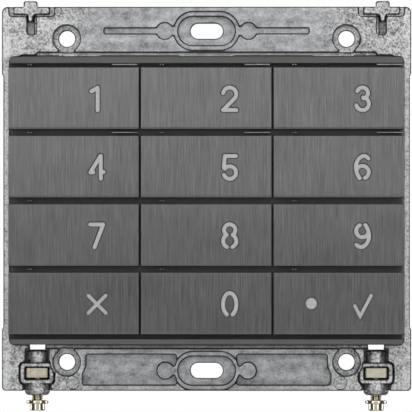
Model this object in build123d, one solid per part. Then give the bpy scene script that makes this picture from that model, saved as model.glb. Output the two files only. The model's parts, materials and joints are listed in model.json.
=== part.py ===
from build123d import *
import os

# Keypad access reader: a die-cast mounting frame that carries a three by four keypad module.
# Millimetres. +X right, +Z up, and the front faces -Y. The origin is the middle of the four
# fixing holes, on the rear mounting plane of the frame. Depths called "back" and "front" are
# distances forward of that plane, so the rear housing has negative ones.

# Mounting frame
CORNER_HALF_W = 53.2
RAIL_HALF_W = 52.85
FRAME_TOP = 50.33
FRAME_BOTTOM = -49.5
STEP_TOP = 33.0
STEP_BOTTOM = -33.7
STEP_RUN = 0.8
TOP_CORNER_R = 1.5
BOTTOM_CORNER_R = 1.0
FRAME_DEPTH = 6.0
SHALLOW_FLOOR = 5.0
POCKET_FLOOR = 3.0
DEEP_FLOOR = 1.4
OPENING_W = 102.4
OPENING_H = 74.8
OPENING_R = 1.2
LEDGE_FLOOR = 4.6
LEDGE_HALF_W = 44.2
LEDGE_OUTER_Z = 38.5
TAB_NOTCH_HALF_W = 48.4
TAB_NOTCH_Z = 37.8

# How far a cutting or joining solid runs past the face it meets
OVERLAP = 1.0

# Four fixing holes with open counterbores
HOLE_PITCH_X = 72.8
HOLE_PITCH_Z = 84.2
HOLE_D = 4.2
COUNTERBORE_D = 7.05
COUNTERBORE_NECK_W = 3.8
COUNTERBORE_RIM_R = 4.15

# Two box slots, each in an oval recess with a raised ring around it
UPPER_SLOT_Z = 44.1
LOWER_SLOT_Z = -44.3
SLOT_L = 8.4
SLOT_W = 4.0
OVAL_L = 14.9
OVAL_W = 7.5
RING_L = 17.0
RING_W = 9.95
CHANNEL_W = 1.45
CHANNEL_END_X = 26.6
TOP_PAD_X = 10.9
TOP_PAD_D = 4.3
BOTTOM_PAD_X = 10.75
BOTTOM_PAD_D = 4.6
PAD_NECK_W = 2.2
PAD_NECK_START = 7.0
POCKET_INNER_X = 7.9
POCKET_NARROW_X = 31.35
POCKET_WIDE_X = 32.25
POCKET_TOP = -40.05
POCKET_BEND_TOP = -42.9
POCKET_BEND_BOTTOM = -45.4
POCKET_BOTTOM = -48.0
POCKET_CORNER_R = 0.45
EJECTOR_X = 34.8
EJECTOR_Z = -47.4
EJECTOR_D = 3.4
EJECTOR_DEPTH = 0.12

# Cover hooks at the top corners, mirrored left to right
HOOK_X = 45.8
HOOK_TOP = 51.8
HOOK_HALF_W = 1.8
HOOK_SHOULDER_Z = 49.1
HOOK_NECK_Z = 47.9
HOOK_STEM_HALF_W = 0.62
HOOK_FOOT_Z = 46.5
HOOK_CHAMFER = 0.35
TEE_X = 45.5
TEE_ARM_HALF_W = 5.9
TEE_ARM_Z = 47.9
TEE_ARM_R = 0.7
TEE_ARM_FLOOR = 4.4
TEE_STEM_HALF_W = 1.2
TEE_STEM_CHAMFER = 0.4
TEE_SHELF_W = 0.65
TEE_SHELF_FLOOR = 3.6
TEE_FOOT_Z = 43.15
TEE_BAR_HALF_W = 4.7
TEE_BAR_BOTTOM = 48.4

# Cover clamps at the bottom corners: boss, square nut, washer and screw
CLAMP_X = 44.1
CLAMP_AXIS_DEPTH = 3.4
UPPER_BARREL_R = 2.65
UPPER_BARREL_TOP = -39.1
NUT_BLOCK_TOP = -42.2
NUT_BLOCK_BOTTOM = -47.7
NUT_BLOCK_W = 8.8
NUT_BLOCK_FRONT = 6.6
NUT_BLOCK_R = 1.0
NUT_WINDOW_W = 6.35
NUT_WINDOW_TOP = -43.35
NUT_WINDOW_BOTTOM = -46.55
NUT_WINDOW_BACK = 0.5
LOWER_BARREL_R = 3.3
LOWER_BARREL_BOTTOM = -50.7
LOWER_BARREL_ROUND = 1.2
THROAT_HALF_W = 3.05
HALL_HALF_W = 4.6
HALL_GAP = 0.12
HALL_R = 1.1
MOUTH_HALF_W = 3.6
CLAMP_BORE_R = 1.7
NOTCH_HALF_W = 2.0
NOTCH_FLARE = 0.2
NOTCH_BOTTOM = -38.9
NUT_SIDE = 5.6
NUT_THICKNESS = 2.45
NUT_Z = -44.85
NUT_CHAMFER = 0.3
NUT_BORE_R = 1.5
THREAD_CORE_R = 1.22
THREAD_TOP = -40.6
THREAD_CHAMFER = 0.4
WASHER_TOP = -52.02
WASHER_THICKNESS = 0.85
WASHER_EDGE_R = 0.25
WASHER_R = 2.84
WASHER_BORE_R = 1.6
HEAD_TOP = -52.9
HEAD_BOTTOM = -54.7
HEAD_R = 1.97
HEAD_EDGE_R = 0.3
HEX_SOCKET_R = 1.25
HEX_SOCKET_DEPTH = 1.3

# The keypad module is built around its own middle, then moved to this height
MODULE_Z = -0.1

# Keys: three columns by four rows of cast metal caps
COLUMNS = 3
ROWS = 4
KEY_W = 33.8
KEY_H = 16.27
PITCH_X = 34.38
PITCH_Z = 17.74
KEY_FRONT = 11.5
KEY_BACK = 7.9
KEY_WALL = 1.0
KEY_FACE = 1.0
KEY_LOWER_R = 0.6
KEY_EDGE_BEVEL = 0.28
KEY_CORNER_R = 0.35
KEY_RIB_NEAR = 0.9
KEY_RIB_FAR = 1.8
KEY_RIB_T = 0.7
LEGEND_X = 6.1
LEGEND_Z = -0.2
LEGEND_RECESS = 0.06
LEGEND_ROOT = 0.2
STROKE_W = 1.0
SYMBOL_STROKE_W = 0.85
STROKE_END = 0.5
SYMBOL_STROKE_END = 0.3
STROKE_GAP = 0.22
STATUS_X = -7.15
STATUS_D = 2.9
STATUS_FLANGE = 0.6
LEGEND_PLATE_W = 8.0
LEGEND_PLATE_H = 9.4
LEGEND_PLATE_T = 0.7
LIGHT_WINDOW_W = 6.2
LIGHT_WINDOW_H = 7.6
FIT_GAP = 0.08

# Key carrier: plastic tray with a press stem and two snap legs
CARRIER_BACK = 8.2
CARRIER_RELIEF_H = 1.1
CARRIER_RELIEF_T = 0.8
STEM_D = 4.0
STEM_TIP = 4.95
LEG_X = 12.0
LEG_W = 2.4
LEG_T = 1.5
LEG_TIP = 4.55
LEG_HOOK = 0.55
LEG_HOOK_T = 0.5

# Bezel: the tray the keys sit in
BEZEL_W = 102.1
BEZEL_H = 74.6
BEZEL_R = 0.9
BEZEL_WELL_TOP = 35.6
BEZEL_WELL_BOTTOM = -35.85
BEZEL_EDGE_R = 0.25
BEZEL_LIP_FRONT = 11.0
DECK_FRONT = 6.6
DECK_BACK = 5.1
SKIRT_BACK = 1.8
SKIRT_WALL = 1.4
TAB_Z = 37.72
TAB_FRONT = 5.5
TAB_REST_GAP = 0.05
TAB_SPANS = ((-48.2, -38.4), (-27.6, -7.1), (7.1, 27.6), (38.4, 48.2))
POST_D = 4.6
POST_END = 0.5
POST_BORE_D = 2.5
STEM_HOLE_D = 5.0
LIGHT_HOLE_D = 3.6
LEG_SLOT_W = 2.7
LEG_SLOT_H = 1.8
STATUS_HOLE_D = 3.2
POST_PLACES = tuple((sx * PITCH_X / 2, sz * PITCH_Z) for sx in (-1, 1) for sz in (-1, 1)) + (
    (-44.5, 0.0),
    (44.5, 0.0),
)

# Spring-steel clips that stand on the deck in the gaps above the keys
CLIP_FRONT = 9.6
CLIP_T = 0.2
CLIP_TOP_ROW_T = 0.33
CLIP_SHORT_X = -11.55
CLIP_SHORT_W = 0.35
CLIP_SHORT_SPREAD = 0.7
CLIP_LONG_X = 13.2
CLIP_LONG_W = 6.6
CLIP_TOP_ROW_DROP = 0.1

# Silicone mat, circuit board and what it carries
MAT_W = 97.0
MAT_H = 69.6
MAT_BACK = 3.2
MAT_FRONT = 4.0
DOME_TOP = 4.9
DOME_BASE_D = 7.0
DOME_TOP_D = 4.4
DOME_WALL = 0.9
DOME_ROOF = 0.4
DOME_ROOT = 0.3
LEG_OPENING_W = 3.8
LEG_OPENING_H = 4.1
LIGHT_OPENING_D = 3.0
MAT_LIFT = 0.02
BOARD_W = 98.0
BOARD_H = 70.6
BOARD_BACK = 1.6
BOARD_FRONT = 3.2
BOARD_R = 1.0
POST_HOLE_D = 5.4
SOLDER_GAP = 0.05
CHIP_Z = -10.0
CHIP_W = 10.0
CHIP_T = 1.45
CHIP_BEVEL = 0.2
SIDE_PART_X = 36.0
SIDE_PART_Z = -22.0
BUZZER_D = 12.0
BUZZER_T = 6.95
BUZZER_PORT_D = 2.0
BUZZER_PORT_DEPTH = 1.0
BUZZER_EDGE_R = 0.4
CAPACITOR_D = 8.0
CAPACITOR_T = 8.95
CAPACITOR_EDGE_R = 0.5
LED_W = 1.6
LED_H = 1.2
LED_T = 0.6
SOCKET_X = 22.0
SOCKET_Z = 27.0
SOCKET_W = 15.0
SOCKET_H = 7.6
SOCKET_END = -12.6
SOCKET_MOUTH_W = 12.4
SOCKET_MOUTH_H = 5.2
SOCKET_MOUTH_DEPTH = 8.5
CONTACTS = 6
CONTACT_PITCH = 1.8
CONTACT_W = 0.7
CONTACT_T = 0.25
CONTACT_INSET = 1.0

# Rear cover with its seal and screws
COVER_W = 101.6
COVER_H = 74.0
COVER_WALL = 2.4
COVER_BACK = -12.0
COVER_FLOOR_T = 2.0
COVER_RIM = 1.55
COVER_R = 1.5
COVER_INNER_R = 1.0
COVER_BEVEL = 1.0
COVER_SOCKET_GAP = 0.25
SEAL_SEAT = 1.3
SEAL_W = 1.1
SEAL_GAP = 0.05
SEAL_LIFT = 0.02
EAR_XS = (-34.0, 0.0, 34.0)
EAR_W = 8.0
EAR_TIP_Z = 39.6
EAR_BACK = 0.08
EAR_T = 1.15
EAR_SEAT_DEPTH = 1.3
EAR_SEAT_GAP = 0.3
CORE_NEAR_X = 14.0
CORE_FAR_X = 28.0
CORE_BOTTOM = 41.5
CORE_TOP = 48.8
TUBE_D = 7.4
TUBE_START = -11.5
TUBE_GAP = 0.05
TUBE_SEAT = -3.5
SCREW_HEAD_D = 4.6
SCREW_HEAD_T = 1.8
SCREW_SHANK_D = 2.4
SCREW_TIP = 4.4
SCREW_HEAD_EDGE_R = 0.5
SCREW_HEAD_GAP = 0.2
SCREW_SHANK_GAP = 0.25
SCREW_LIFT = 0.02
SCREW_ROOT = 0.5
CROSS_L = 2.6
CROSS_W = 0.6
CROSS_DEPTH = 0.9
GRILLE_SLOTS = 9
GRILLE_PITCH = 1.6
GRILLE_L = 8.0
GRILLE_W = 0.9

KEY_NAMES = ("1", "2", "3", "4", "5", "6", "7", "8", "9", "clear", "0", "enter")


def slab(outline, back, front):
    """Solid of a front-view outline between two distances forward of the mounting plane."""
    return Plane.XZ * extrude(Pos(0, 0, back) * outline, front - back)


def box_of(x0, x1, z0, z1):
    """Front-view rectangle from its four limits."""
    return Pos((x0 + x1) / 2, (z0 + z1) / 2) * Rectangle(x1 - x0, z1 - z0)


def drum(x, depth, radius, z0, z1):
    """Upright cylinder between two heights."""
    return Pos(x, -depth, (z0 + z1) / 2) * Cylinder(radius, z1 - z0)


def both_sides(shape):
    """A shape and its mirror image across the middle plane."""
    return shape + mirror(shape, Plane.YZ)


def key_places():
    """Name and front-view centre of each key, row by row from the top left."""
    places = []
    for index, name in enumerate(KEY_NAMES):
        column = index % COLUMNS - (COLUMNS - 1) / 2
        row = (ROWS - 1) / 2 - index // COLUMNS
        places.append((name, column * PITCH_X, row * PITCH_Z))
    return places


# ---- Numerals: centre lines about the glyph's own middle, drawn as stencil strokes ----


def six_strokes():
    outer = Spline((1.55, 2.3), (0.2, 2.9), (-1.25, 1.75), (-1.62, -0.7), (-0.72, -2.8))
    bowl = CenterArc((0, -1.25), 1.62, -66, 222)
    return [outer, bowl]


def glyph_strokes(name):
    """The centre lines of one numeral or symbol."""
    if name == "1":
        return [Polyline((-1.45, 1.95), (0.16, 2.92), (0.16, -2.95))]
    if name == "2":
        arc = CenterArc((0, 1.22), 1.7, 172, -208)
        return [arc, Polyline(arc @ 1, (-1.72, -2.9), (1.72, -2.9))]
    if name == "3":
        upper = CenterArc((0, 1.5), 1.42, 158, -238)
        lower = CenterArc((0.02, -1.3), 1.64, 84, -250)
        return [upper, lower]
    if name == "4":
        slope = Polyline((-0.95, -1.3), (-1.72, -1.3), (0.85, 2.9))
        return [slope, Line((0.97, 2.95), (0.97, -2.95)), Line((0.97, -1.2), (1.72, -1.2))]
    if name == "5":
        head = Polyline((1.55, 2.92), (-1.25, 2.92), (-1.5, -0.15))
        bowl = CenterArc((0.02, -1.36), 1.62, 141, -300)
        return [head, bowl]
    if name == "6":
        return six_strokes()
    if name == "7":
        return [Polyline((-1.75, 2.92), (1.6, 2.92), (-0.65, -2.95))]
    if name == "8":
        left = [CenterArc((0, 1.5), 1.46, 90, 148), CenterArc((0, -1.35), 1.7, 118, 128)]
        return left + [mirror(stroke, Plane.YZ) for stroke in left]
    if name == "9":
        return [Rot(0, 0, 180) * stroke for stroke in six_strokes()]
    if name == "0":
        return [EllipticalCenterArc((0, 0), 1.72, 2.9, -65, arc_size=310)]
    if name == "clear":
        return [Line((-2.4, 2.4), (2.4, -2.4)), Line((-2.4, -2.4), (2.4, 2.4))]
    return [Polyline((-2.05, -0.25), (-0.6, -3.1), (2.35, 2.45))]


def glyph(name, gap):
    """Face of a numeral, its strokes wider by the gap on each side."""
    symbol = name in ("clear", "enter")
    width = (SYMBOL_STROKE_W if symbol else STROKE_W) + 2 * gap
    end_radius = width * (SYMBOL_STROKE_END if symbol else STROKE_END)
    face = Sketch()
    for stroke in glyph_strokes(name):
        for run in [stroke] if symbol else stroke.edges():
            face += trace(run, width)
            for end in (run @ 0, run @ 1):
                face += Pos(end.X, end.Y) * Circle(end_radius)
    return Pos(LEGEND_X, LEGEND_Z) * face


# ---- Mounting frame ----


def frame_outline():
    right = Polyline(
        (0, FRAME_TOP),
        (CORNER_HALF_W, FRAME_TOP),
        (CORNER_HALF_W, STEP_TOP),
        (RAIL_HALF_W, STEP_TOP - STEP_RUN),
        (RAIL_HALF_W, STEP_BOTTOM + STEP_RUN),
        (CORNER_HALF_W, STEP_BOTTOM),
        (CORNER_HALF_W, FRAME_BOTTOM),
        (0, FRAME_BOTTOM),
    )
    face = make_face(right.edges() + mirror(right, Plane.YZ).edges())
    corners = face.vertices().group_by(Axis.Y)
    face = fillet([v for v in corners[-1] if abs(v.X) > RAIL_HALF_W], TOP_CORNER_R)
    corners = face.vertices().group_by(Axis.Y)
    return fillet([v for v in corners[0] if abs(v.X) > RAIL_HALF_W], BOTTOM_CORNER_R)


def ledges():
    """Shallow steps above and below the opening, where the bezel's tabs rest."""
    cuts = Sketch()
    for side in (-1, 1):
        z0, z1 = sorted((side * (OPENING_H / 2 - OVERLAP), side * LEDGE_OUTER_Z))
        cuts += box_of(-LEDGE_HALF_W, LEDGE_HALF_W, z0, z1)
    cuts += box_of(-TAB_NOTCH_HALF_W, TAB_NOTCH_HALF_W, OPENING_H / 2 - OVERLAP, TAB_NOTCH_Z)
    return slab(cuts, LEDGE_FLOOR, FRAME_DEPTH + OVERLAP)


def fixing_hole_cuts():
    counterbores = Sketch()
    holes = Sketch()
    for x in (-HOLE_PITCH_X / 2, HOLE_PITCH_X / 2):
        for z in (-HOLE_PITCH_Z / 2, HOLE_PITCH_Z / 2):
            z0, z1 = sorted((z, LEDGE_OUTER_Z if z > 0 else -LEDGE_OUTER_Z))
            holes += Pos(x, z) * Circle(HOLE_D / 2)
            counterbores += Pos(x, z) * Circle(COUNTERBORE_D / 2)
            counterbores += box_of(x - COUNTERBORE_NECK_W / 2, x + COUNTERBORE_NECK_W / 2, z0, z1)
    wells = slab(counterbores, POCKET_FLOOR, FRAME_DEPTH + OVERLAP)
    return wells + slab(holes, -OVERLAP, FRAME_DEPTH)


def slot_cuts():
    """Ring step, oval recess and slot, at the top and at the bottom."""
    rings = Sketch()
    ovals = Sketch()
    slots = Sketch()
    for z in (LOWER_SLOT_Z, UPPER_SLOT_Z):
        rings += Pos(0, z) * SlotOverall(RING_L, RING_W)
        ovals += Pos(0, z) * SlotOverall(OVAL_L, OVAL_W)
        slots += Pos(0, z) * SlotOverall(SLOT_L, SLOT_W)
    steps = slab(rings, SHALLOW_FLOOR, FRAME_DEPTH + OVERLAP)
    return steps + slab(ovals, POCKET_FLOOR, FRAME_DEPTH) + slab(slots, -OVERLAP, FRAME_DEPTH)


def channel_cuts():
    """Recessed pads beside the upper slot, with a narrow channel outwards from each."""
    right = Circle(TOP_PAD_D / 2)
    right += box_of(PAD_NECK_START - TOP_PAD_X, 0, -PAD_NECK_W / 2, PAD_NECK_W / 2)
    right += box_of(0, CHANNEL_END_X - TOP_PAD_X, -CHANNEL_W / 2, CHANNEL_W / 2)
    right = Pos(TOP_PAD_X, UPPER_SLOT_Z) * right
    return both_sides(slab(right, SHALLOW_FLOOR, FRAME_DEPTH + OVERLAP))


def lower_pocket_cuts():
    """Deep pockets beside the lower slot, around a pad that stands up from the floor."""
    bend = Spline(
        (POCKET_WIDE_X, POCKET_BEND_BOTTOM),
        (POCKET_NARROW_X, POCKET_BEND_TOP),
        tangents=[(0, 1), (0, 1)],
    )
    rest = Polyline(
        (POCKET_NARROW_X, POCKET_BEND_TOP),
        (POCKET_NARROW_X, POCKET_TOP),
        (POCKET_INNER_X, POCKET_TOP),
        (POCKET_INNER_X, POCKET_BOTTOM),
        (POCKET_WIDE_X, POCKET_BOTTOM),
        (POCKET_WIDE_X, POCKET_BEND_BOTTOM),
    )
    pocket = make_face(bend.edges() + rest.edges())
    ends = (POCKET_TOP, POCKET_BOTTOM)
    pocket = fillet([v for v in pocket.vertices() if round(v.Y, 2) in ends], POCKET_CORNER_R)
    pocket -= Pos(0, LOWER_SLOT_Z) * SlotOverall(RING_L, RING_W)
    pad = Circle(BOTTOM_PAD_D / 2)
    pad += box_of(PAD_NECK_START - BOTTOM_PAD_X, 0, -PAD_NECK_W / 2, PAD_NECK_W / 2)
    pad = Pos(BOTTOM_PAD_X, LOWER_SLOT_Z) * pad
    cut = slab(pocket - pad, POCKET_FLOOR, FRAME_DEPTH + OVERLAP)
    cut += slab(pocket & pad, SHALLOW_FLOOR, FRAME_DEPTH + OVERLAP)
    return both_sides(cut)


def ejector_marks():
    marks = Sketch()
    for x in (-EJECTOR_X, EJECTOR_X):
        marks += Pos(x, EJECTOR_Z) * Circle(EJECTOR_D / 2)
    return slab(marks, FRAME_DEPTH - EJECTOR_DEPTH, FRAME_DEPTH + OVERLAP)


def tee_pocket():
    """The left tee-shaped pocket that a cover's hook enters, with a shelf along its stem."""
    arms = box_of(-TEE_X - TEE_ARM_HALF_W, -TEE_X + TEE_ARM_HALF_W, TEE_ARM_Z, FRAME_TOP + OVERLAP)
    arms = fillet(arms.vertices().group_by(Axis.Y)[0], TEE_ARM_R)
    stem = box_of(-TEE_X - TEE_STEM_HALF_W, -TEE_X + TEE_STEM_HALF_W, TEE_FOOT_Z, TEE_ARM_Z + OVERLAP)
    stem = chamfer(stem.vertices().group_by(Axis.Y)[0], TEE_STEM_CHAMFER)
    shelf_x = -TEE_X + TEE_STEM_HALF_W
    shelf = box_of(shelf_x - TEE_SHELF_W, shelf_x + OVERLAP, TEE_FOOT_Z - OVERLAP, TEE_ARM_Z)
    pocket = slab(arms, TEE_ARM_FLOOR, FRAME_DEPTH + OVERLAP)
    pocket += slab(stem - shelf, DEEP_FLOOR, FRAME_DEPTH + OVERLAP)
    return pocket + slab(stem, TEE_SHELF_FLOOR, FRAME_DEPTH + OVERLAP)


def hook():
    """The left hook post with its stem, and the bar across it."""
    half = Polyline(
        (0, HOOK_TOP),
        (HOOK_HALF_W - HOOK_CHAMFER, HOOK_TOP),
        (HOOK_HALF_W, HOOK_TOP - HOOK_CHAMFER),
        (HOOK_HALF_W, HOOK_SHOULDER_Z),
        (HOOK_STEM_HALF_W, HOOK_NECK_Z),
        (HOOK_STEM_HALF_W, HOOK_FOOT_Z),
        (0, HOOK_FOOT_Z),
    )
    post = Pos(-HOOK_X, 0) * make_face(half.edges() + mirror(half, Plane.YZ).edges())
    bar = box_of(-TEE_X - TEE_BAR_HALF_W, -TEE_X + TEE_BAR_HALF_W, TEE_BAR_BOTTOM, FRAME_TOP)
    return slab(post, 0, FRAME_DEPTH) + slab(bar, DEEP_FLOOR, FRAME_DEPTH)


def counterbore_rim():
    """Ring of frame that is kept round the lower left counterbore."""
    return Pos(-HOLE_PITCH_X / 2, -HOLE_PITCH_Z / 2) * Circle(COUNTERBORE_RIM_R)


def clamp_recess():
    """Hollow that the left clamp boss stands in."""
    throat = box_of(
        -CLAMP_X - THROAT_HALF_W, -CLAMP_X + THROAT_HALF_W, NUT_BLOCK_TOP - OVERLAP, -LEDGE_OUTER_Z - HALL_GAP
    )
    hall = box_of(
        -CLAMP_X - HALL_HALF_W, -CLAMP_X + HALL_HALF_W, NUT_BLOCK_BOTTOM - HALL_GAP, NUT_BLOCK_TOP + HALL_GAP
    )
    hall = fillet(hall.vertices(), HALL_R)
    mouth = box_of(
        -CLAMP_X - MOUTH_HALF_W, -CLAMP_X + MOUTH_HALF_W, FRAME_BOTTOM - OVERLAP, NUT_BLOCK_BOTTOM + OVERLAP
    )
    outline = throat + (hall - counterbore_rim()) + mouth
    return slab(outline, DEEP_FLOOR, FRAME_DEPTH + OVERLAP)


def clamp_boss():
    """The left boss: two barrels with a windowed block between them."""
    block = box_of(-CLAMP_X - NUT_BLOCK_W / 2, -CLAMP_X + NUT_BLOCK_W / 2, NUT_BLOCK_BOTTOM, NUT_BLOCK_TOP)
    block = fillet(block.vertices(), NUT_BLOCK_R) - counterbore_rim()
    boss = slab(block, 0, NUT_BLOCK_FRONT)
    upper_start = NUT_BLOCK_TOP - OVERLAP
    boss += drum(-CLAMP_X, CLAMP_AXIS_DEPTH, UPPER_BARREL_R, upper_start, UPPER_BARREL_TOP)
    lower_start = NUT_BLOCK_BOTTOM + OVERLAP
    lower = drum(-CLAMP_X, CLAMP_AXIS_DEPTH, LOWER_BARREL_R, LOWER_BARREL_BOTTOM, lower_start)
    return boss + fillet(lower.edges().group_by(Axis.Z)[0], LOWER_BARREL_ROUND)


def clamp_bores():
    """The left screw bore, nut window and the notch through the frame above the boss."""
    window = box_of(
        -CLAMP_X - NUT_WINDOW_W / 2, -CLAMP_X + NUT_WINDOW_W / 2, NUT_WINDOW_BOTTOM, NUT_WINDOW_TOP
    )
    cuts = slab(window, NUT_WINDOW_BACK, NUT_BLOCK_FRONT + OVERLAP)
    bore_top = UPPER_BARREL_TOP + OVERLAP
    cuts += drum(-CLAMP_X, CLAMP_AXIS_DEPTH, CLAMP_BORE_R, LOWER_BARREL_BOTTOM - OVERLAP, bore_top)
    notch_top = -OPENING_H / 2 + OVERLAP
    notch = Polyline(
        (-CLAMP_X - NOTCH_HALF_W - NOTCH_FLARE, notch_top),
        (-CLAMP_X + NOTCH_HALF_W + NOTCH_FLARE, notch_top),
        (-CLAMP_X + NOTCH_HALF_W, NOTCH_BOTTOM),
        (-CLAMP_X - NOTCH_HALF_W, NOTCH_BOTTOM),
        close=True,
    )
    return cuts + slab(make_face(notch.edges()), -OVERLAP, FRAME_DEPTH + OVERLAP)


def rear_recesses():
    """Seats for the rear cover's ears and cored hollows behind the upper flange."""
    cuts = Sketch()
    seat_half_w = EAR_W / 2 + EAR_SEAT_GAP
    for x in EAR_XS:
        for side in (-1, 1):
            z0, z1 = sorted((side * (OPENING_H / 2 - OVERLAP), side * (EAR_TIP_Z + EAR_SEAT_GAP)))
            cuts += Pos(0, MODULE_Z) * box_of(x - seat_half_w, x + seat_half_w, z0, z1)
    for side in (-1, 1):
        x0, x1 = sorted((side * CORE_NEAR_X, side * CORE_FAR_X))
        cuts += box_of(x0, x1, CORE_BOTTOM, CORE_TOP)
    return slab(cuts, -OVERLAP, EAR_SEAT_DEPTH)


def mounting_frame():
    opening = Pos(0, MODULE_Z) * RectangleRounded(OPENING_W, OPENING_H, OPENING_R)
    body = slab(frame_outline() - opening, 0, FRAME_DEPTH)
    body -= ledges()
    body -= fixing_hole_cuts()
    body -= slot_cuts()
    body -= channel_cuts()
    body -= lower_pocket_cuts()
    body -= ejector_marks()
    body -= both_sides(tee_pocket())
    body -= both_sides(clamp_recess())
    body -= rear_recesses()
    body += both_sides(hook())
    body += both_sides(clamp_boss())
    return body - both_sides(clamp_bores())


# ---- Cover clamps ----


def captive_nut(x):
    block = Pos(x, -CLAMP_AXIS_DEPTH, NUT_Z) * Box(NUT_SIDE, NUT_SIDE, NUT_THICKNESS)
    block = chamfer(block.edges().filter_by(Axis.Z), NUT_CHAMFER)
    return block - drum(x, CLAMP_AXIS_DEPTH, NUT_BORE_R, NUT_Z - NUT_THICKNESS, NUT_Z + NUT_THICKNESS)


def clamp_washer(x):
    ring = drum(x, CLAMP_AXIS_DEPTH, WASHER_R, WASHER_TOP - WASHER_THICKNESS, WASHER_TOP)
    ring = fillet(ring.edges().filter_by(GeomType.CIRCLE), WASHER_EDGE_R)
    bore_start = WASHER_TOP - 2 * WASHER_THICKNESS
    return ring - drum(x, CLAMP_AXIS_DEPTH, WASHER_BORE_R, bore_start, WASHER_TOP + OVERLAP)


def clamp_screw(x):
    head = drum(x, CLAMP_AXIS_DEPTH, HEAD_R, HEAD_BOTTOM, HEAD_TOP)
    head = fillet(head.edges().group_by(Axis.Z)[0], HEAD_EDGE_R)
    shank = drum(x, CLAMP_AXIS_DEPTH, THREAD_CORE_R, HEAD_TOP - THREAD_CHAMFER, THREAD_TOP)
    shank = chamfer(shank.edges().group_by(Axis.Z)[-1], THREAD_CHAMFER)
    socket = extrude(RegularPolygon(HEX_SOCKET_R, 6), HEX_SOCKET_DEPTH)
    return head + shank - Pos(x, -CLAMP_AXIS_DEPTH, HEAD_BOTTOM) * socket


# ---- Keys ----


def key_profile():
    """Side section of a cap: rounded lower front edge, bevelled upper one."""
    section = Pos(-(KEY_FRONT + KEY_BACK) / 2, 0) * Rectangle(KEY_FRONT - KEY_BACK, KEY_H)
    front_corners = section.vertices().group_by(Axis.X)[0].sort_by(Axis.Y)
    section = fillet(front_corners[0], KEY_LOWER_R)
    front_corners = section.vertices().group_by(Axis.X)[0].sort_by(Axis.Y)
    return chamfer(front_corners[-1], KEY_EDGE_BEVEL)


def key_cap(name, x, z):
    """Cast cap: bevelled upper edge, rounded lower edge, numeral cut through its face."""
    cap = extrude(Plane.YZ * key_profile(), KEY_W / 2, both=True)
    cap &= slab(RectangleRounded(KEY_W, KEY_H, KEY_CORNER_R), KEY_BACK, KEY_FRONT)
    face_back = KEY_FRONT - KEY_FACE
    hollow_w = KEY_W - 2 * KEY_WALL
    cap -= slab(Rectangle(hollow_w, KEY_H - 2 * KEY_WALL), KEY_BACK - OVERLAP, face_back)
    rib = box_of(-hollow_w / 2, hollow_w / 2, -KEY_H / 2 + KEY_RIB_NEAR, -KEY_H / 2 + KEY_RIB_FAR)
    cap += slab(rib, face_back - KEY_RIB_T, face_back + KEY_FACE / 2)
    cap -= slab(glyph(name, STROKE_GAP), KEY_BACK, KEY_FRONT + OVERLAP)
    if name == "enter":
        bore = Pos(STATUS_X, 0) * Circle(STATUS_D / 2 + STROKE_GAP)
        cap -= slab(bore, KEY_BACK, KEY_FRONT + OVERLAP)
    return Pos(x, 0, z) * cap


def key_carrier(name, x, z):
    """Plastic tray behind the cap, with its stem, snap legs and light window."""
    tray_w = KEY_W - 2 * KEY_WALL - 2 * FIT_GAP
    tray_h = KEY_H - 2 * KEY_WALL - 2 * FIT_GAP
    tray_front = KEY_FRONT - KEY_FACE - FIT_GAP
    body = slab(Rectangle(tray_w, tray_h), CARRIER_BACK, tray_front)
    relief = box_of(-tray_w, tray_w, -tray_h, -tray_h / 2 + CARRIER_RELIEF_H)
    body -= slab(relief, tray_front - CARRIER_RELIEF_T, tray_front + OVERLAP)
    seat = Pos(LEGEND_X, 0) * Rectangle(LEGEND_PLATE_W + 2 * FIT_GAP, LEGEND_PLATE_H + 2 * FIT_GAP)
    body -= slab(seat, tray_front - LEGEND_PLATE_T - FIT_GAP, tray_front + OVERLAP)
    window = Pos(LEGEND_X, 0) * Rectangle(LIGHT_WINDOW_W, LIGHT_WINDOW_H)
    body -= slab(window, CARRIER_BACK - OVERLAP, tray_front)
    root = CARRIER_BACK + OVERLAP / 2
    body += slab(Circle(STEM_D / 2), STEM_TIP, root)
    for side in (-1, 1):
        leg_x = side * LEG_X
        body += slab(Pos(leg_x, 0) * Rectangle(LEG_W, LEG_T), LEG_TIP, root)
        catch = box_of(leg_x - LEG_W / 2, leg_x + LEG_W / 2, 0, LEG_T / 2 + LEG_HOOK)
        body += slab(catch, LEG_TIP, LEG_TIP + LEG_HOOK_T)
    if name == "enter":
        bore = Pos(STATUS_X, 0) * Circle(STATUS_D / 2 + FIT_GAP)
        body -= slab(bore, CARRIER_BACK - OVERLAP, tray_front + OVERLAP)
        flange_seat = Pos(STATUS_X, 0) * Circle(STATUS_D / 2 + STATUS_FLANGE + FIT_GAP)
        body -= slab(flange_seat, tray_front - LEGEND_PLATE_T - FIT_GAP, tray_front + OVERLAP)
    return Pos(x, 0, z) * body


def key_legend(name, x, z):
    """Translucent light guide whose raised numeral fills the cap's cut-out."""
    plate_front = KEY_FRONT - KEY_FACE - FIT_GAP
    plate = Pos(LEGEND_X, 0) * Rectangle(LEGEND_PLATE_W, LEGEND_PLATE_H)
    guide = slab(plate, plate_front - LEGEND_PLATE_T, plate_front)
    guide += slab(glyph(name, 0), plate_front - LEGEND_ROOT, KEY_FRONT - LEGEND_RECESS)
    return Pos(x, 0, z) * guide


def status_lens(x, z):
    """Small light pipe beside the confirm symbol."""
    plate_front = KEY_FRONT - KEY_FACE - FIT_GAP
    lens = slab(Circle(STATUS_D / 2), CARRIER_BACK, KEY_FRONT - LEGEND_RECESS)
    lens += slab(Circle(STATUS_D / 2 + STATUS_FLANGE), plate_front - LEGEND_PLATE_T, plate_front)
    return Pos(x + STATUS_X, 0, z) * lens


# ---- Bezel, mat and circuit board ----


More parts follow.
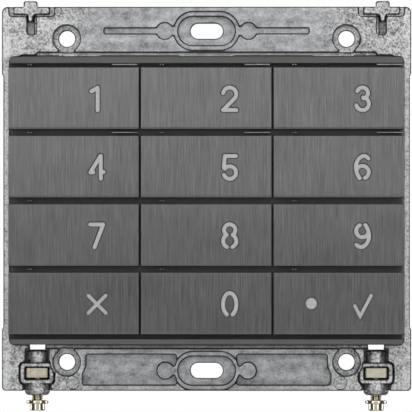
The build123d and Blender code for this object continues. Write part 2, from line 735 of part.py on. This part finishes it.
def keypad_bezel():
    outline = RectangleRounded(BEZEL_W, BEZEL_H, BEZEL_R)
    body = slab(outline, SKIRT_BACK, BEZEL_LIP_FRONT)
    well = box_of(-BEZEL_W, BEZEL_W, BEZEL_WELL_BOTTOM, BEZEL_WELL_TOP)
    body -= slab(well, DECK_FRONT, BEZEL_LIP_FRONT + OVERLAP)
    inner = Rectangle(BEZEL_W - 2 * SKIRT_WALL, BEZEL_H - 2 * SKIRT_WALL)
    body -= slab(inner, SKIRT_BACK - OVERLAP, DECK_BACK)
    lip_edges = body.edges().filter_by(Axis.X).group_by(Axis.Y)[0]
    body = fillet(lip_edges, BEZEL_EDGE_R)
    for x0, x1 in TAB_SPANS:
        tab = box_of(x0, x1, BEZEL_H / 2 - OVERLAP, TAB_Z - MODULE_Z)
        body += slab(tab, LEDGE_FLOOR + TAB_REST_GAP, TAB_FRONT)
    for name, x, z in key_places():
        holes = Pos(x, z) * Circle(STEM_HOLE_D / 2)
        holes += Pos(x + LEGEND_X, z) * Circle(LIGHT_HOLE_D / 2)
        for side in (-1, 1):
            holes += Pos(x + side * LEG_X, z) * Rectangle(LEG_SLOT_W, LEG_SLOT_H)
        if name == "enter":
            holes += Pos(x + STATUS_X, z) * Circle(STATUS_HOLE_D / 2)
        body -= slab(holes, DECK_BACK - OVERLAP, DECK_FRONT + OVERLAP)
    for x, z in POST_PLACES:
        post = Pos(x, z) * (Circle(POST_D / 2) - Circle(POST_BORE_D / 2))
        body += slab(post, POST_END, DECK_BACK)
    return body


def spring_clips():
    """Two short upright fingers above every key, and a long blade above the two upper rows."""
    clips = []
    for index, (_, x, z) in enumerate(key_places()):
        top_row = index < COLUMNS
        clip_z = z + PITCH_Z / 2 - (CLIP_TOP_ROW_DROP if top_row else 0)
        thickness = CLIP_TOP_ROW_T if top_row else CLIP_T
        fingers = [CLIP_SHORT_X - CLIP_SHORT_SPREAD / 2, CLIP_SHORT_X + CLIP_SHORT_SPREAD / 2]
        spans = [(x + centre, CLIP_SHORT_W) for centre in fingers]
        if index < 2 * COLUMNS:
            spans.append((x + CLIP_LONG_X, CLIP_LONG_W))
        for centre, width in spans:
            blade = Pos(centre, clip_z) * Rectangle(width, thickness)
            clips.append(slab(blade, DECK_FRONT, CLIP_FRONT))
    return Compound(clips)


def key_mat():
    """Silicone sheet with a hollow dome under each key's stem."""
    sheet = Rectangle(MAT_W, MAT_H)
    for name, x, z in key_places():
        for side in (-1, 1):
            sheet -= Pos(x + side * LEG_X, z) * Rectangle(LEG_OPENING_W, LEG_OPENING_H)
        sheet -= Pos(x + LEGEND_X, z) * Circle(LIGHT_OPENING_D / 2)
        if name == "enter":
            sheet -= Pos(x + STATUS_X, z) * Circle(LIGHT_OPENING_D / 2)
    for x, z in POST_PLACES:
        sheet -= Pos(x, z) * Circle(POST_HOLE_D / 2)
    mat = slab(sheet, MAT_BACK + MAT_LIFT, MAT_FRONT)
    rise = DOME_TOP - MAT_FRONT
    dome = Cone(DOME_BASE_D / 2, DOME_TOP_D / 2, rise)
    hollow = Cone(DOME_BASE_D / 2 - DOME_WALL, DOME_TOP_D / 2 - DOME_WALL, rise)
    for _, x, z in key_places():
        mat += Plane.XZ.location * Pos(x, z, MAT_FRONT + rise / 2) * dome
        mat -= Plane.XZ.location * Pos(x, z, MAT_FRONT + rise / 2 - DOME_ROOF) * hollow
        root = Pos(x, z) * Circle(DOME_BASE_D / 2 - DOME_WALL)
        mat -= slab(root, MAT_BACK - OVERLAP, MAT_FRONT - DOME_ROOT)
    return mat


def circuit_board():
    board = RectangleRounded(BOARD_W, BOARD_H, BOARD_R)
    for x, z in POST_PLACES:
        board -= Pos(x, z) * Circle(POST_HOLE_D / 2)
    return slab(board, BOARD_BACK, BOARD_FRONT)


def key_leds():
    """One light for each numeral and one for the status lens."""
    chips = []
    for name, x, z in key_places():
        spots = [x + LEGEND_X] + ([x + STATUS_X] if name == "enter" else [])
        for spot in spots:
            chips.append(slab(Pos(spot, z) * Rectangle(LED_W, LED_H), BOARD_FRONT, BOARD_FRONT + LED_T))
    return Compound(chips)


def behind_board(outline, height):
    """A component that hangs behind the board, as deep as its height."""
    seat = BOARD_BACK - SOLDER_GAP
    return slab(outline, seat - height, seat)


def controller_chip():
    body = behind_board(Pos(0, CHIP_Z) * Rectangle(CHIP_W, CHIP_W), CHIP_T)
    return chamfer(body.edges().group_by(Axis.Y)[-1], CHIP_BEVEL)


def buzzer():
    spot = Pos(-SIDE_PART_X, SIDE_PART_Z)
    can = behind_board(spot * Circle(BUZZER_D / 2), BUZZER_T)
    can = fillet(can.edges().group_by(Axis.Y)[-1], BUZZER_EDGE_R)
    end = BOARD_BACK - SOLDER_GAP - BUZZER_T
    return can - slab(spot * Circle(BUZZER_PORT_D / 2), end - OVERLAP, end + BUZZER_PORT_DEPTH)


def bulk_capacitor():
    can = behind_board(Pos(SIDE_PART_X, SIDE_PART_Z) * Circle(CAPACITOR_D / 2), CAPACITOR_T)
    return fillet(can.edges().group_by(Axis.Y)[-1], CAPACITOR_EDGE_R)


def bus_socket(x):
    """Board-mounted socket whose mouth opens through the rear cover."""
    body = slab(Pos(x, SOCKET_Z) * Rectangle(SOCKET_W, SOCKET_H), SOCKET_END, BOARD_BACK - SOLDER_GAP)
    mouth = Pos(x, SOCKET_Z) * Rectangle(SOCKET_MOUTH_W, SOCKET_MOUTH_H)
    return body - slab(mouth, SOCKET_END - OVERLAP, SOCKET_END + SOCKET_MOUTH_DEPTH)


def bus_contacts():
    """Flat contact blades along the lower wall of both sockets."""
    blades = []
    for x in (-SOCKET_X, SOCKET_X):
        for index in range(CONTACTS):
            blade_x = x + (index - (CONTACTS - 1) / 2) * CONTACT_PITCH
            blade_z = SOCKET_Z - (SOCKET_MOUTH_H - CONTACT_T) / 2
            blade = Pos(blade_x, blade_z) * Rectangle(CONTACT_W, CONTACT_T)
            blades.append(slab(blade, SOCKET_END + CONTACT_INSET, SOCKET_END + SOCKET_MOUTH_DEPTH))
    return Compound(blades)


# ---- Rear housing ----


def cover_openings():
    """Socket openings and the sound slots behind the buzzer."""
    cuts = Sketch()
    opening_w = SOCKET_W + 2 * COVER_SOCKET_GAP
    opening_h = SOCKET_H + 2 * COVER_SOCKET_GAP
    for x in (-SOCKET_X, SOCKET_X):
        cuts += Pos(x, SOCKET_Z) * Rectangle(opening_w, opening_h)
    for index in range(GRILLE_SLOTS):
        slot_x = -SIDE_PART_X + (index - (GRILLE_SLOTS - 1) / 2) * GRILLE_PITCH
        cuts += Pos(slot_x, SIDE_PART_Z) * SlotOverall(GRILLE_L, GRILLE_W, 90)
    return slab(cuts, COVER_BACK - OVERLAP, COVER_BACK + COVER_FLOOR_T + OVERLAP)


def rear_cover():
    body = slab(RectangleRounded(COVER_W, COVER_H, COVER_R), COVER_BACK, COVER_RIM)
    body = chamfer(body.edges().group_by(Axis.Y)[-1], COVER_BEVEL)
    inner = RectangleRounded(COVER_W - 2 * COVER_WALL, COVER_H - 2 * COVER_WALL, COVER_INNER_R)
    body -= slab(inner, COVER_BACK + COVER_FLOOR_T, COVER_RIM + OVERLAP)
    step = Rectangle(COVER_W + OVERLAP, COVER_H + OVERLAP)
    step -= Rectangle(COVER_W - 2 * SEAL_W, COVER_H - 2 * SEAL_W)
    body -= slab(step, SEAL_SEAT, COVER_RIM + OVERLAP)
    for x in EAR_XS:
        ear = box_of(x - EAR_W / 2, x + EAR_W / 2, -EAR_TIP_Z, EAR_TIP_Z)
        ear -= Rectangle(COVER_W, COVER_H - COVER_WALL)
        body += slab(ear, EAR_BACK, EAR_BACK + EAR_T)
    body -= cover_openings()
    for x, z in POST_PLACES:
        spot = Pos(x, z)
        body += slab(spot * Circle(TUBE_D / 2), TUBE_START, POST_END - TUBE_GAP)
        body -= slab(spot * Circle(SCREW_HEAD_D / 2 + SCREW_HEAD_GAP), COVER_BACK - OVERLAP, TUBE_SEAT)
        shank_bore = spot * Circle(SCREW_SHANK_D / 2 + SCREW_SHANK_GAP)
        body -= slab(shank_bore, TUBE_SEAT - OVERLAP, POST_END + OVERLAP)
    return body


def housing_seal():
    ring = Rectangle(COVER_W - 2 * SEAL_GAP, COVER_H - 2 * SEAL_GAP)
    inset = 2 * (SEAL_W - SEAL_GAP)
    ring -= Rectangle(COVER_W - inset, COVER_H - inset)
    return slab(ring, SEAL_SEAT + SEAL_LIFT, SKIRT_BACK - SEAL_LIFT)


def rear_cover_screws():
    screws = []
    seat = TUBE_SEAT - SCREW_LIFT
    for x, z in POST_PLACES:
        spot = Pos(x, z)
        head = slab(spot * Circle(SCREW_HEAD_D / 2), seat - SCREW_HEAD_T, seat)
        head = fillet(head.edges().group_by(Axis.Y)[-1], SCREW_HEAD_EDGE_R)
        shank = slab(spot * Circle(SCREW_SHANK_D / 2), seat - SCREW_ROOT, SCREW_TIP)
        cross = spot * (Rectangle(CROSS_L, CROSS_W) + Rectangle(CROSS_W, CROSS_L))
        head_end = seat - SCREW_HEAD_T
        screws.append(head + shank - slab(cross, head_end - OVERLAP, head_end + CROSS_DEPTH))
    return Compound(screws)


def module_nodes():
    """The keypad module's nodes, about its own middle."""
    nodes = {
        "keypad_bezel": keypad_bezel(),
        "spring_clips": spring_clips(),
        "key_mat": key_mat(),
        "circuit_board": circuit_board(),
        "key_leds": key_leds(),
        "controller_chip": controller_chip(),
        "buzzer": buzzer(),
        "bulk_capacitor": bulk_capacitor(),
        "bus_inlet_socket": bus_socket(-SOCKET_X),
        "bus_outlet_socket": bus_socket(SOCKET_X),
        "bus_contacts": bus_contacts(),
        "rear_cover": rear_cover(),
        "housing_seal": housing_seal(),
        "rear_cover_screws": rear_cover_screws(),
    }
    for name, x, z in key_places():
        nodes[f"key_{name}_cap"] = key_cap(name, x, z)
        nodes[f"key_{name}_carrier"] = key_carrier(name, x, z)
        nodes[f"key_{name}_legend"] = key_legend(name, x, z)
        if name == "enter":
            nodes["status_lens"] = status_lens(x, z)
    return nodes


def build_nodes():
    nodes = {name: Pos(0, 0, MODULE_Z) * shape for name, shape in module_nodes().items()}
    nodes["mounting_frame"] = mounting_frame()
    for side, x in (("left", -CLAMP_X), ("right", CLAMP_X)):
        nodes[f"{side}_captive_nut"] = captive_nut(x)
        nodes[f"{side}_clamp_washer"] = clamp_washer(x)
        nodes[f"{side}_clamp_screw"] = clamp_screw(x)
    return nodes


os.makedirs("parts", exist_ok=True)
for node_name, node_shape in build_nodes().items():
    export_step(node_shape, f"parts/{node_name}.step")
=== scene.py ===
"""Looks of the keypad access reader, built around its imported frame."""
import json
import math

import bpy
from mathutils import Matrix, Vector


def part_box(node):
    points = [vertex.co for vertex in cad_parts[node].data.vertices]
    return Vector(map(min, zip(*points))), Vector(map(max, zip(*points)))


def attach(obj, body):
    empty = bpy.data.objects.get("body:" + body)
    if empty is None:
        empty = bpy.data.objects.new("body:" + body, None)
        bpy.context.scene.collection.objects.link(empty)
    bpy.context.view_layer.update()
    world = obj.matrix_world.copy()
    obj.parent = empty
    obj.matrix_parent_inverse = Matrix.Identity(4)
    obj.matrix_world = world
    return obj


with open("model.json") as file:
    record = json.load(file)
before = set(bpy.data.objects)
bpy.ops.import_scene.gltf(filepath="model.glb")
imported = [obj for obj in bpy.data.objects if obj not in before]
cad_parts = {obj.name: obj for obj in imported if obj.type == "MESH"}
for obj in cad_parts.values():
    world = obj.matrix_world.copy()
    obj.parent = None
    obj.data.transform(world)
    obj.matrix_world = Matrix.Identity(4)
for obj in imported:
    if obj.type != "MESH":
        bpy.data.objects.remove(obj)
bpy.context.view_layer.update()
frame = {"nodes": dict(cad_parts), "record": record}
MM = 0.001


# ---- Shader building blocks ----

OCCLUSION_SAMPLES = 8
BEVEL_SAMPLES = 4
# Painted shade at corners and edges, and a painted highlight band beside them.
EDGE_SHADE_AND_HIGHLIGHT_STOPS = ((0.72, 0.04), (0.88, 1.0), (0.97, 0.78))  # openness, grey value


class Shader:
    """One procedural material, built node by node."""

    def __init__(self, name, **sockets):
        self.material = bpy.data.materials.new(name)
        self.material.use_nodes = True
        self.tree = self.material.node_tree
        self.tree.nodes.clear()
        self.output = self.tree.nodes.new("ShaderNodeOutputMaterial")
        self.bsdf = self.tree.nodes.new("ShaderNodeBsdfPrincipled")
        self.tree.links.new(self.bsdf.outputs["BSDF"], self.output.inputs["Surface"])
        self.place = self.tree.nodes.new("ShaderNodeTexCoord").outputs["Object"]
        for socket, value in sockets.items():
            self.bsdf.inputs[socket.replace("_", " ")].default_value = value

    def link(self, source, target):
        self.tree.links.new(source, target)

    def stretched(self, per_x, per_y, per_z):
        """Object coordinates times a number of repeats per metre on each axis."""
        node = self.tree.nodes.new("ShaderNodeMapping")
        node.inputs["Scale"].default_value = (per_x, per_y, per_z)
        self.link(self.place, node.inputs["Vector"])
        return node.outputs["Vector"]

    def noise(self, place, detail=3.0, roughness=0.55):
        node = self.tree.nodes.new("ShaderNodeTexNoise")
        node.inputs["Scale"].default_value = 1.0
        node.inputs["Detail"].default_value = detail
        node.inputs["Roughness"].default_value = roughness
        self.link(place, node.inputs["Vector"])
        return node.outputs["Fac"]

    def cells(self, place):
        node = self.tree.nodes.new("ShaderNodeTexVoronoi")
        node.inputs["Scale"].default_value = 1.0
        self.link(place, node.inputs["Vector"])
        return node.outputs["Distance"]

    def span(self, value, low, high, from_low=0.3, from_high=0.7):
        """A texture value brought from one range into another."""
        node = self.tree.nodes.new("ShaderNodeMapRange")
        node.inputs["From Min"].default_value = from_low
        node.inputs["From Max"].default_value = from_high
        node.inputs["To Min"].default_value = low
        node.inputs["To Max"].default_value = high
        self.link(value, node.inputs["Value"])
        return node.outputs["Result"]

    def from_middle(self, low, high, near, far):
        """A value that grows with the distance to the left or right of the middle."""
        node = self.tree.nodes.new("ShaderNodeSeparateXYZ")
        self.link(self.place, node.inputs[0])
        return self.span(self.math("ABSOLUTE", node.outputs["X"], 0.0), low, high, near, far)

    def math(self, operation, a, b):
        node = self.tree.nodes.new("ShaderNodeMath")
        node.operation = operation
        for socket, value in zip(node.inputs, (a, b)):
            if isinstance(value, (int, float)):
                socket.default_value = value
            else:
                self.link(value, socket)
        return node.outputs[0]

    def shade(self, value, dark, light, from_low=0.25, from_high=0.75):
        """A colour between two, from a texture value."""
        node = self.tree.nodes.new("ShaderNodeValToRGB")
        node.color_ramp.elements[0].position = from_low
        node.color_ramp.elements[0].color = (*dark, 1)
        node.color_ramp.elements[1].position = from_high
        node.color_ramp.elements[1].color = (*light, 1)
        self.link(value, node.inputs["Fac"])
        return node.outputs["Color"]

    def darken(self, colour, factor):
        """A colour multiplied by a grey value."""
        node = self.tree.nodes.new("ShaderNodeMix")
        node.data_type = "RGBA"
        node.blend_type = "MULTIPLY"
        node.inputs["Factor"].default_value = 1.0
        self.link(colour, node.inputs["A"])
        self.link(factor, node.inputs["B"])
        return node.outputs["Result"]

    def occlusion(self, distance, inside=False):
        node = self.tree.nodes.new("ShaderNodeAmbientOcclusion")
        node.samples = OCCLUSION_SAMPLES
        node.inside = inside
        node.only_local = inside
        node.inputs["Distance"].default_value = distance
        return node.outputs["AO"]

    def painted_crevice_shade(self, distance, darkest, from_low=0.35, from_high=0.95):
        """Painted shade: a grey value that falls towards inside corners."""
        return self.span(self.occlusion(distance), darkest, 1.0, from_low, from_high)

    def painted_edge_shade_and_highlight(self, distance, inside):
        """Grey value of painted shade at a cast step: dark at the very corner, with a painted
        highlight band beside it.
        """
        node = self.tree.nodes.new("ShaderNodeValToRGB")
        node.color_ramp.elements.new(EDGE_SHADE_AND_HIGHLIGHT_STOPS[1][0])
        for element, (position, value) in zip(node.color_ramp.elements, EDGE_SHADE_AND_HIGHLIGHT_STOPS):
            element.position = position
            element.color = (value, value, value, 1)
        self.link(self.occlusion(distance, inside), node.inputs["Fac"])
        return node.outputs["Color"]

    def bump(self, height, distance, strength=1.0, after=None):
        node = self.tree.nodes.new("ShaderNodeBump")
        node.inputs["Distance"].default_value = distance
        node.inputs["Strength"].default_value = strength
        self.link(height, node.inputs["Height"])
        if after is not None:
            self.link(after, node.inputs["Normal"])
        return node.outputs["Normal"]

    def soft_edges(self, radius):
        node = self.tree.nodes.new("ShaderNodeBevel")
        node.samples = BEVEL_SAMPLES
        node.inputs["Radius"].default_value = radius
        return node.outputs["Normal"]

    def finish(self, colour=None, roughness=None, normal=None):
        for socket, value in (("Base Color", colour), ("Roughness", roughness), ("Normal", normal)):
            if value is not None:
                self.link(value, self.bsdf.inputs[socket])
        return self.material


# ---- Materials ----


def grey(value, warmth=0.0):
    return (value * (1 + warmth), value, value * (1 - warmth))


def zinc_casting():
    s = Shader("zinc_casting", Metallic=0.85)
    grain = s.noise(s.stretched(1900, 1900, 1900), 2.0, 0.75)
    mottle = s.noise(s.stretched(420, 420, 520), 3.0)
    flow = s.noise(s.stretched(35, 200, 420), 2.0)
    smooth = s.math("ADD", s.math("MULTIPLY", mottle, 0.3), s.math("MULTIPLY", flow, 0.2))
    grain_depth = s.from_middle(0.3, 0.95, 28 * MM, 38 * MM)
    coarse = s.math("MULTIPLY", s.math("SUBTRACT", grain, 0.5), grain_depth)
    # Painted highlight: the side rails, beyond 50.6 mm from the middle, are made lighter as if they
    # catch more light.
    painted_rail_highlight = s.from_middle(0.25, 0.33, 50.6 * MM, 51.4 * MM)
    mixed = s.math("ADD", s.math("ADD", smooth, painted_rail_highlight), coarse)
    colour = s.shade(mixed, grey(0.07, -0.02), grey(1.0), 0.3, 0.64)
    outwards = s.from_middle(0.0, 1.0, 22 * MM, 40 * MM)
    colour = s.darken(colour, s.shade(outwards, (0.86, 0.88, 0.9), grey(1.0), 0.0, 1.0))
    # Painted shade in the inside corners of cast steps, with a painted highlight band beside it.
    colour = s.darken(colour, s.painted_edge_shade_and_highlight(0.24 * MM, False))
    # Painted dark outline along convex edges, with a painted highlight band beside it.
    colour = s.darken(colour, s.painted_edge_shade_and_highlight(0.6 * MM, True))
    # Painted shade deep in pockets and hollows.
    colour = s.darken(colour, s.painted_crevice_shade(3 * MM, 0.9, 0.05, 0.35))
    normal = s.bump(grain, 0.03 * MM, after=s.soft_edges(0.2 * MM))
    normal = s.bump(mottle, 0.06 * MM, after=normal)
    return s.finish(colour, s.span(grain, 0.34, 0.5), normal)


def brushed_key_metal():
    s = Shader("brushed_key_metal", Metallic=0.9)
    lines = s.noise(s.stretched(3000, 1, 110), 3.0, 0.75)
    bands = s.noise(s.stretched(700, 1, 12), 2.0)
    clouds = s.noise(s.stretched(60, 60, 90), 2.0)
    tone = s.math("ADD", s.math("MULTIPLY", lines, 0.7), s.math("MULTIPLY", bands, 0.15))
    tone = s.math("ADD", tone, s.math("MULTIPLY", clouds, 0.15))
    colour = s.shade(tone, grey(0.092, 0.01), grey(0.182, 0.01), 0.33, 0.66)
    # Painted shade in the key's inside corners, such as round the legend cut-outs.
    colour = s.darken(colour, s.painted_crevice_shade(0.3 * MM, 0.3, 0.5, 0.9))
    normal = s.bump(lines, 0.003 * MM, after=s.soft_edges(0.22 * MM))
    return s.finish(colour, s.span(tone, 0.19, 0.25), normal)


def moulded_plastic(name, tone, warmth, roughness, texture_mm, hollow_shade=0.5):
    s = Shader(name)
    grain = s.noise(s.stretched(3500, 3500, 3500), 2.0)
    patches = s.noise(s.stretched(80, 80, 80), 2.0)
    colour = s.shade(patches, grey(tone * 0.88, warmth), grey(tone * 1.12, warmth))
    # Painted shade in inside corners and hollows.
    colour = s.darken(colour, s.painted_crevice_shade(3 * MM, hollow_shade, 0.15, 0.6))
    # Painted dark outline along convex edges.
    colour = s.darken(colour, s.span(s.occlusion(0.3 * MM, True), 0.3, 1.0, 0.65, 0.9))
    normal = s.bump(grain, texture_mm * MM, after=s.soft_edges(0.12 * MM))
    return s.finish(colour, s.span(grain, roughness - 0.08, roughness + 0.1), normal)


def legend_plastic():
    s = Shader("legend_plastic", Subsurface_Weight=0.15, Subsurface_Scale=0.4 * MM)
    milk = s.noise(s.stretched(1500, 1500, 1500), 3.0)
    colour = s.shade(milk, grey(0.37, 0.005), grey(0.47, 0.005))
    # Painted shade in the inside corners round the legend.
    colour = s.darken(colour, s.painted_crevice_shade(0.3 * MM, 0.25, 0.55, 0.85))
    return s.finish(colour, s.span(milk, 0.3, 0.45), s.bump(milk, 0.01 * MM))


def plated_metal(name, dark, light, rough, metallic=1.0):
    s = Shader(name, Metallic=metallic)
    film = s.noise(s.stretched(900, 900, 900), 4.0, 0.6)
    scuffs = s.noise(s.stretched(2500, 2500, 400), 2.0)
    colour = s.shade(film, dark, light)
    # Painted shade in inside corners.
    colour = s.darken(colour, s.painted_crevice_shade(0.3 * MM, 0.35))
    normal = s.bump(scuffs, 0.008 * MM, after=s.soft_edges(0.08 * MM))
    return s.finish(colour, s.span(scuffs, rough * 0.75, rough * 1.3), normal)


def soft_rubber(name, tone, roughness):
    s = Shader(name, Subsurface_Weight=0.1, Subsurface_Scale=0.5 * MM)
    dust = s.noise(s.stretched(700, 700, 700), 4.0)
    colour = s.shade(dust, grey(tone * 0.9), grey(tone * 1.1))
    return s.finish(colour, s.span(dust, roughness - 0.1, roughness + 0.1), s.bump(dust, 0.02 * MM))


def board_laminate():
    s = Shader("board_laminate", Coat_Weight=0.4, Coat_Roughness=0.15)
    tracks = s.cells(s.stretched(420, 420, 420))
    weave = s.noise(s.stretched(1800, 1800, 1800), 2.0)
    colour = s.shade(tracks, (0.012, 0.11, 0.045), (0.02, 0.2, 0.08))
    normal = s.bump(tracks, 0.03 * MM, after=s.bump(weave, 0.01 * MM))
    return s.finish(colour, s.span(weave, 0.3, 0.45), normal)


MATERIALS = {
    "zinc_casting": zinc_casting(),
    "brushed_key_metal": brushed_key_metal(),
    "legend_plastic": legend_plastic(),
    "bezel_plastic": moulded_plastic("bezel_plastic", 0.075, 0.02, 0.46, 0.006, 0.2),
    "carrier_plastic": moulded_plastic("carrier_plastic", 0.012, 0.0, 0.5, 0.006),
    "silicone": soft_rubber("silicone", 0.5, 0.5),
    "seal_rubber": soft_rubber("seal_rubber", 0.02, 0.6),
    "board_laminate": board_laminate(),
    "component_plastic": moulded_plastic("component_plastic", 0.02, 0.0, 0.5, 0.01),
    "led_resin": soft_rubber("led_resin", 0.7, 0.3),
    "capacitor_can": plated_metal("capacitor_can", grey(0.55), grey(0.7), 0.3),
    "socket_plastic": moulded_plastic("socket_plastic", 0.68, 0.03, 0.42, 0.005),
    "contact_metal": plated_metal("contact_metal", (0.6, 0.38, 0.12), (0.78, 0.52, 0.2), 0.22),
    "cover_plastic": moulded_plastic("cover_plastic", 0.022, 0.0, 0.5, 0.02),
    "plated_steel": plated_metal("plated_steel", (0.4, 0.365, 0.29), (0.62, 0.575, 0.465), 0.42, 0.6),
    "bright_screw": plated_metal("bright_screw", (0.6, 0.53, 0.41), (0.95, 0.87, 0.72), 0.16),
    "spring_steel": plated_metal("spring_steel", grey(0.12), grey(0.5), 0.35),
}


def dress_cad_nodes():
    """Gives every carried-over node the material of its slot in the record."""
    for part in frame["record"]["subparts"]:
        node = frame["nodes"][part["node"]]
        node.data.materials.clear()
        node.data.materials.append(MATERIALS[part["material_slot"]])


# ---- Pieces ----

THREAD_PITCH = 0.5 * MM
THREAD_CORE = 1.2 * MM
THREAD_CREST = 1.49 * MM
THREAD_SINK = 0.05 * MM
THREAD_LOW_GAP, THREAD_HIGH_GAP = 0.1 * MM, 0.4 * MM
THREAD_STEPS = 28  # sections in each turn
CREST_START, CREST_END = 0.35, 0.6  # in pitches


def mesh_piece(name, points, faces, body, slot):
    mesh = bpy.data.meshes.new(name)
    mesh.from_pydata(points, [], faces)
    mesh.update()
    for face in mesh.polygons:
        face.use_smooth = True
    piece = bpy.data.objects.new(name, mesh)
    bpy.context.scene.collection.objects.link(piece)
    mesh.materials.append(MATERIALS[slot])
    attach(piece, body)


def screw_thread(side):
    """Helical ridge round a clamp screw's shank, tapering out at both ends."""
    body = f"{side}_clamp_screw"
    low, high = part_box(body)
    washer_low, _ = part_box(f"{side}_clamp_washer")
    x, y = (low.x + high.x) / 2, (low.y + high.y) / 2
    z0, z1 = washer_low.z + THREAD_LOW_GAP, high.z - THREAD_HIGH_GAP
    turns = (z1 - z0 - THREAD_PITCH) / THREAD_PITCH
    steps = int(turns * THREAD_STEPS)
    points, faces = [], []
    for i in range(steps + 1):
        angle = 2 * math.pi * turns * i / steps
        fade = min(1.0, i / THREAD_STEPS, (steps - i) / THREAD_STEPS)
        crest = THREAD_CORE + (THREAD_CREST - THREAD_CORE) * fade
        z = z0 + THREAD_PITCH * angle / (2 * math.pi)
        section = (
            (THREAD_CORE - THREAD_SINK, z),
            (crest, z + CREST_START * THREAD_PITCH),
            (crest, z + CREST_END * THREAD_PITCH),
            (THREAD_CORE - THREAD_SINK, z + THREAD_PITCH),
        )
        for radius, height in section:
            points.append((x + radius * math.cos(angle), y + radius * math.sin(angle), height))
    for i in range(steps):
        for j in range(4):
            a, b = i * 4 + j, i * 4 + (j + 1) % 4
            faces.append((a, b, b + 4, a + 4))
    last = steps * 4
    faces.append((3, 2, 1, 0))
    faces.append((last, last + 1, last + 2, last + 3))
    mesh_piece(f"{side}_screw_thread", points, faces, body, "bright_screw")


# ---- Stage, lights and camera ----


FLOOR_RADIUS = 4.0
FLOOR_Z = -0.9


def studio_floor():
    """Pale floor that glows by itself and doesn't light the object."""
    bpy.ops.mesh.primitive_circle_add(
        vertices=96, radius=FLOOR_RADIUS, fill_type="NGON", location=(0, 0, FLOOR_Z))
    floor = bpy.context.object
    floor.name = "studio_floor"
    floor.visible_diffuse = False
    floor.visible_glossy = False
    s = Shader("pale_floor", Emission_Color=(0.8, 0.8, 0.8, 1), Emission_Strength=0.95)
    paper = s.noise(s.stretched(40, 40, 40), 3.0)
    material = s.finish(s.shade(paper, grey(0.8), grey(0.84)), s.span(paper, 0.6, 0.75))
    floor.data.materials.append(material)


# Name, place, size and power in watts of each light
SOFTBOXES = (
    ("upper_front_softbox", (0.03, -0.42, 0.165), (0.7, 0.37), 1.12),
    ("lower_front_softbox", (0.0, -0.42, -0.18), (0.7, 0.35), 0.38),
    ("left_softbox", (-0.27, -0.4, 0.0), (0.1, 0.5), 0.35),
    ("right_softbox", (0.27, -0.4, 0.0), (0.1, 0.5), 0.35),
    ("top_softbox", (0.0, -0.25, 0.42), (0.6, 0.3), 0.8),
    ("bottom_softbox", (0.0, -0.24, -0.4), (0.6, 0.34), 0.6),
    ("rear_softbox", (0.1, 0.6, 0.3), (0.8, 0.6), 2.5),
    ("left_side_softbox", (-0.7, 0.3, 0.1), (0.5, 0.6), 1.6),
    ("right_side_softbox", (0.7, 0.3, 0.1), (0.5, 0.6), 1.6),
)


def softbox(name, place, size, power):
    """A rectangular light that faces the object and isn't itself in the picture."""
    light = bpy.data.lights.new(name, "AREA")
    light.shape = "RECTANGLE"
    light.size, light.size_y = size
    light.energy = power
    light.spread = math.pi
    holder = bpy.data.objects.new(name, light)
    holder.location = place
    holder.rotation_mode = "QUATERNION"
    holder.rotation_quaternion = (-Vector(place)).to_track_quat("-Z", "Y")
    holder.visible_camera = False
    bpy.context.scene.collection.objects.link(holder)


def studio_world():
    """White behind the object, and a dim grey room for it to reflect."""
    world = bpy.data.worlds.new("studio")
    bpy.context.scene.world = world
    world.use_nodes = True
    nodes, links = world.node_tree.nodes, world.node_tree.links
    nodes.clear()
    seen = nodes.new("ShaderNodeBackground")
    seen.inputs["Color"].default_value = (1, 1, 1, 1)
    room = nodes.new("ShaderNodeBackground")
    room.inputs["Color"].default_value = (0.07, 0.073, 0.076, 1)
    path = nodes.new("ShaderNodeLightPath")
    mix = nodes.new("ShaderNodeMixShader")
    output = nodes.new("ShaderNodeOutputWorld")
    links.new(path.outputs["Is Camera Ray"], mix.inputs["Fac"])
    links.new(room.outputs["Background"], mix.inputs[1])
    links.new(seen.outputs["Background"], mix.inputs[2])
    links.new(mix.outputs["Shader"], output.inputs["Surface"])


CAMERA_DISTANCE = 1.5
VIEW_WIDTH = 107.1 * MM
VIEW_CENTRE = Vector((-0.13 * MM, -6 * MM, -1.45 * MM))
CAMERA_OFFSET_X = 25 * MM
SENSOR_WIDTH = 36.0


def photo_camera():
    """Level view from a degree to the right of square on."""
    data = bpy.data.cameras.new("camera")
    data.sensor_width = SENSOR_WIDTH
    data.lens = SENSOR_WIDTH * CAMERA_DISTANCE / VIEW_WIDTH
    data.clip_start, data.clip_end = 0.01, 20
    camera = bpy.data.objects.new("camera", data)
    camera.location = VIEW_CENTRE + Vector((CAMERA_OFFSET_X, -CAMERA_DISTANCE, 0))
    camera.rotation_euler = (math.radians(90), 0, math.atan2(CAMERA_OFFSET_X, CAMERA_DISTANCE))
    bpy.context.scene.collection.objects.link(camera)
    bpy.context.scene.camera = camera


dress_cad_nodes()
for side_name in ("left", "right"):
    screw_thread(side_name)
studio_floor()
studio_world()
for softbox_values in SOFTBOXES:
    softbox(*softbox_values)
photo_camera()
bpy.context.scene.view_settings.view_transform = "Standard"
